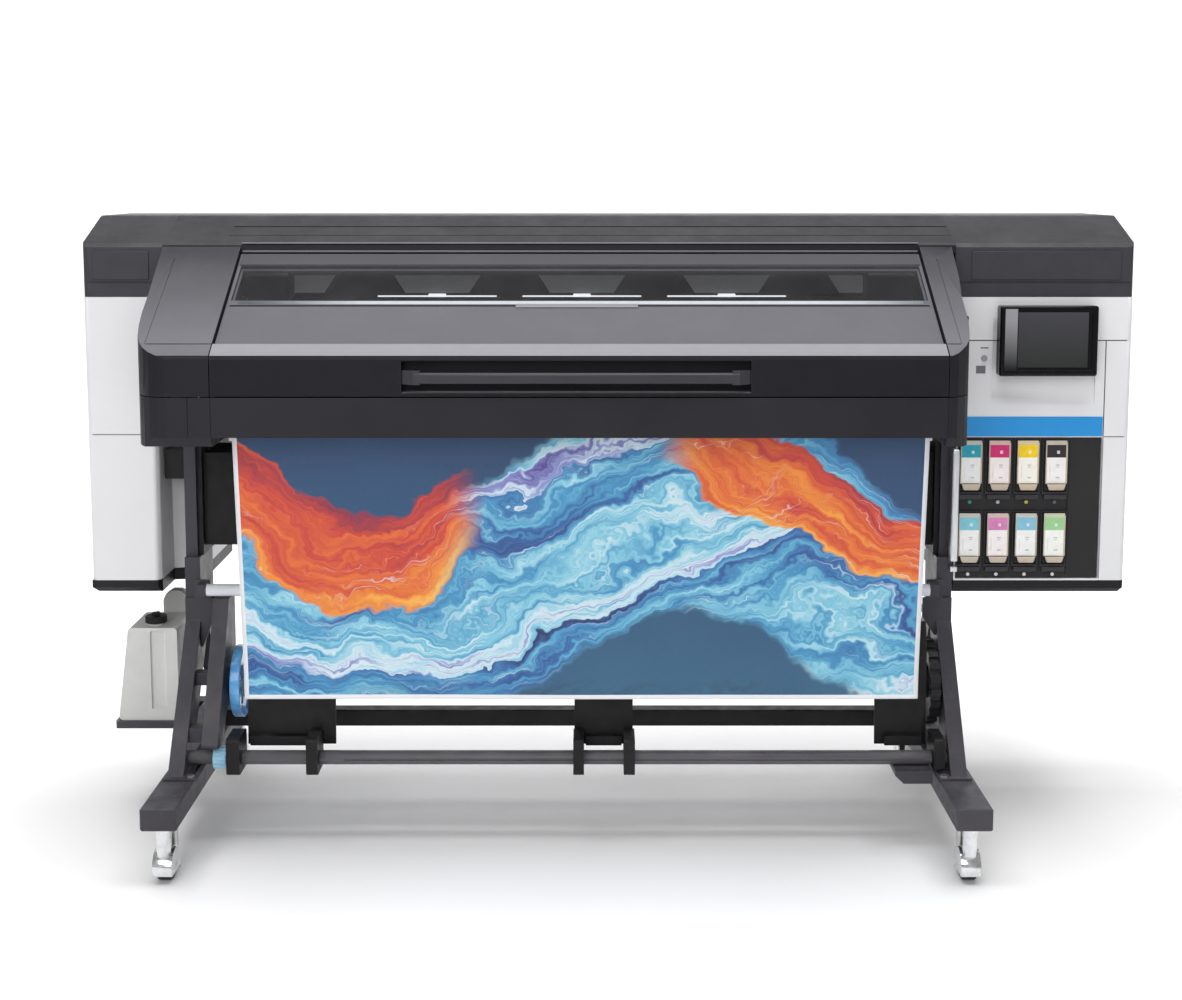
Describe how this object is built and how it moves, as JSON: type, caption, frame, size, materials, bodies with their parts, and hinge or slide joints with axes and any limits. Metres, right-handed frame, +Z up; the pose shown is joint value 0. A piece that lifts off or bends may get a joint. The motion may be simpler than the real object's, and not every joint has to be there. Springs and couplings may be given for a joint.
{
  "type": "wide-format roll printer with cutter",
  "caption": "Floor-standing roll-fed wide-format printer: lifting window over the print zone, ink bay, touch screen, take-up reel and castered stand, with a cutter on the carriage.",
  "frame": {"origin": "on the floor, under the middle of the overall box", "axes": "+X to the machine's right hand seen from the front, +Y to its back, +Z up"},
  "size_m": [2.42, 0.85, 1.432],
  "materials": {
    "charcoal_plastic": "fine-textured moulded charcoal",
    "dark_plastic": "fine-textured moulded near-black",
    "white_plastic": "smooth painted white cover",
    "light_grey_plastic": "translucent light grey moulded",
    "frame_grey": "powder-coated dark grey",
    "black_metal": "powder-coated black",
    "white_metal": "painted white tube",
    "blue_plastic": "blue moulded touch point",
    "smoked_glass": "smoked clear window",
    "screen_glass": "gloss black",
    "chrome": "bright plated",
    "steel": "ground steel",
    "aluminium": "satin anodised",
    "rubber": "black rubber tread",
    "media": "white coated web with a printed face",
    "ink_supply": "cartridge case",
    "button": "small round button"
  },
  "bodies": {
    "machine": {"left_foot": "frame_grey", "right_foot": "frame_grey", "left_leg": "frame_grey", "right_leg": "frame_grey", "leveling_feet": "steel", "cross_brace": "frame_grey", "frame_bolts": "steel", "takeup_supports": "frame_grey", "deflector_bar": "frame_grey", "media_deflectors": "black_metal", "diverter_bar": "white_metal", "chassis_frame": "black_metal", "guide_rails": "steel", "platen": "aluminium", "service_station": "dark_plastic", "curing_module": "black_metal", "printed_media": "media", "end_caps": "charcoal_plastic", "top_lid": "charcoal_plastic", "rear_cover": "charcoal_plastic", "side_arms": "charcoal_plastic", "front_lower_cover": "charcoal_plastic", "left_housing": "white_plastic", "base_trims": "dark_plastic", "right_housing": "white_plastic", "ink_bay": "dark_plastic", "waste_tray": "frame_grey", "mains_inlet": "dark_plastic"},
    "lifting_cover": {"window_cover": "charcoal_plastic", "window_pane": "smoked_glass", "cover_handle": "charcoal_plastic"},
    "carriage": {"print_carriage": "dark_plastic", "cutter_module": "dark_plastic"},
    "drive_roller": {"drive_roller": "steel"},
    "pinch_rollers": {"pinch_rollers": "rubber"},
    "takeup_reel": {"takeup_spindle": "aluminium", "takeup_flange": "blue_plastic", "takeup_drive_wheel": "dark_plastic"},
    "supply_reel": {"supply_spindle": "dark_plastic", "supply_roll": "media"},
    "lock_ring": {"lock_ring": "blue_plastic"},
    "touch_screen": {"touch_screen": "screen_glass"},
    "power_button": {"power_button": "button"},
    "waste_bottle": {"waste_bottle": "light_grey_plastic"},
    "fork_front_left": {"caster_fork_front_left": "chrome"},
    "wheel_front_left": {"caster_wheel_front_left": "rubber"},
    "fork_front_right": {"caster_fork_front_right": "chrome"},
    "wheel_front_right": {"caster_wheel_front_right": "rubber"},
    "fork_rear_left": {"caster_fork_rear_left": "chrome"},
    "wheel_rear_left": {"caster_wheel_rear_left": "rubber"},
    "fork_rear_right": {"caster_fork_rear_right": "chrome"},
    "wheel_rear_right": {"caster_wheel_rear_right": "rubber"},
    "cartridge_1": {"ink_cartridge_1": "ink_supply"},
    "cartridge_2": {"ink_cartridge_2": "ink_supply"},
    "cartridge_3": {"ink_cartridge_3": "ink_supply"},
    "cartridge_4": {"ink_cartridge_4": "ink_supply"},
    "cartridge_5": {"ink_cartridge_5": "ink_supply"},
    "cartridge_6": {"ink_cartridge_6": "ink_supply"},
    "cartridge_7": {"ink_cartridge_7": "ink_supply"},
    "cartridge_8": {"ink_cartridge_8": "ink_supply"}
  },
  "joints": [
    {"name": "cover_hinge", "type": "hinge", "parent": "machine", "child": "lifting_cover", "pos_m": [0, -0.045, 1.363], "axis": [-1, 0, 0], "range_deg": [0, 55]},
    {"name": "carriage_slide", "type": "slide", "parent": "machine", "child": "carriage", "axis": [1, 0, 0], "range_m": [-1.72, 0]},
    {"name": "drive_roller_spin", "type": "hinge", "parent": "machine", "child": "drive_roller", "pos_m": [0, 0.205, 0.985], "axis": [1, 0, 0], "continuous": true},
    {"name": "pinch_roller_spin", "type": "hinge", "parent": "machine", "child": "pinch_rollers", "pos_m": [0, 0.205, 1.0155], "axis": [1, 0, 0], "continuous": true},
    {"name": "takeup_spin", "type": "hinge", "parent": "machine", "child": "takeup_reel", "pos_m": [0, -0.06, 0.35], "axis": [1, 0, 0], "continuous": true},
    {"name": "supply_spin", "type": "hinge", "parent": "machine", "child": "supply_reel", "pos_m": [0, 0.3, 0.72], "axis": [1, 0, 0], "continuous": true},
    {"name": "lock_ring_turn", "type": "hinge", "parent": "machine", "child": "lock_ring", "pos_m": [-0.8815, -0.19, 0.21], "axis": [1, 0, 0], "range_deg": [0, 90]},
    {"name": "screen_tilt", "type": "hinge", "parent": "machine", "child": "touch_screen", "pos_m": [1.0075, -0.0385, 1.2295], "axis": [-1, 0, 0], "range_deg": [0, 30]},
    {"name": "power_button_press", "type": "slide", "parent": "machine", "child": "power_button", "axis": [0, 1, 0], "range_m": [0, 0.002], "stiffness_N_per_m": 600},
    {"name": "waste_bottle_pull", "type": "slide", "parent": "machine", "child": "waste_bottle", "axis": [0, -1, 0], "range_m": [0, 0.25]},
    {"name": "swivel_front_left", "type": "hinge", "parent": "machine", "child": "fork_front_left", "pos_m": [-0.9665, -0.385, 0.09], "axis": [0, 0, 1], "continuous": true},
    {"name": "roll_front_left", "type": "hinge", "parent": "fork_front_left", "child": "wheel_front_left", "pos_m": [-0.9665, -0.365, 0.0325], "axis": [1, 0, 0], "continuous": true},
    {"name": "swivel_front_right", "type": "hinge", "parent": "machine", "child": "fork_front_right", "pos_m": [0.7815, -0.385, 0.09], "axis": [0, 0, 1], "continuous": true},
    {"name": "roll_front_right", "type": "hinge", "parent": "fork_front_right", "child": "wheel_front_right", "pos_m": [0.7815, -0.365, 0.0325], "axis": [1, 0, 0], "continuous": true},
    {"name": "swivel_rear_left", "type": "hinge", "parent": "machine", "child": "fork_rear_left", "pos_m": [-0.9665, 0.385, 0.09], "axis": [0, 0, 1], "continuous": true},
    {"name": "roll_rear_left", "type": "hinge", "parent": "fork_rear_left", "child": "wheel_rear_left", "pos_m": [-0.9665, 0.365, 0.0325], "axis": [1, 0, 0], "continuous": true},
    {"name": "swivel_rear_right", "type": "hinge", "parent": "machine", "child": "fork_rear_right", "pos_m": [0.7815, 0.385, 0.09], "axis": [0, 0, 1], "continuous": true},
    {"name": "roll_rear_right", "type": "hinge", "parent": "fork_rear_right", "child": "wheel_rear_right", "pos_m": [0.7815, 0.365, 0.0325], "axis": [1, 0, 0], "continuous": true},
    {"name": "cartridge_1_pull", "type": "slide", "parent": "machine", "child": "cartridge_1", "axis": [0, -1, 0], "range_m": [0, 0.23]},
    {"name": "cartridge_2_pull", "type": "slide", "parent": "machine", "child": "cartridge_2", "axis": [0, -1, 0], "range_m": [0, 0.23]},
    {"name": "cartridge_3_pull", "type": "slide", "parent": "machine", "child": "cartridge_3", "axis": [0, -1, 0], "range_m": [0, 0.23]},
    {"name": "cartridge_4_pull", "type": "slide", "parent": "machine", "child": "cartridge_4", "axis": [0, -1, 0], "range_m": [0, 0.23]},
    {"name": "cartridge_5_pull", "type": "slide", "parent": "machine", "child": "cartridge_5", "axis": [0, -1, 0], "range_m": [0, 0.23]},
    {"name": "cartridge_6_pull", "type": "slide", "parent": "machine", "child": "cartridge_6", "axis": [0, -1, 0], "range_m": [0, 0.23]},
    {"name": "cartridge_7_pull", "type": "slide", "parent": "machine", "child": "cartridge_7", "axis": [0, -1, 0], "range_m": [0, 0.23]},
    {"name": "cartridge_8_pull", "type": "slide", "parent": "machine", "child": "cartridge_8", "axis": [0, -1, 0], "range_m": [0, 0.23]}
  ],
  "couplings": [
    {"joint": "pinch_roller_spin", "follows": "drive_roller_spin", "ratio": -2}
  ]
}
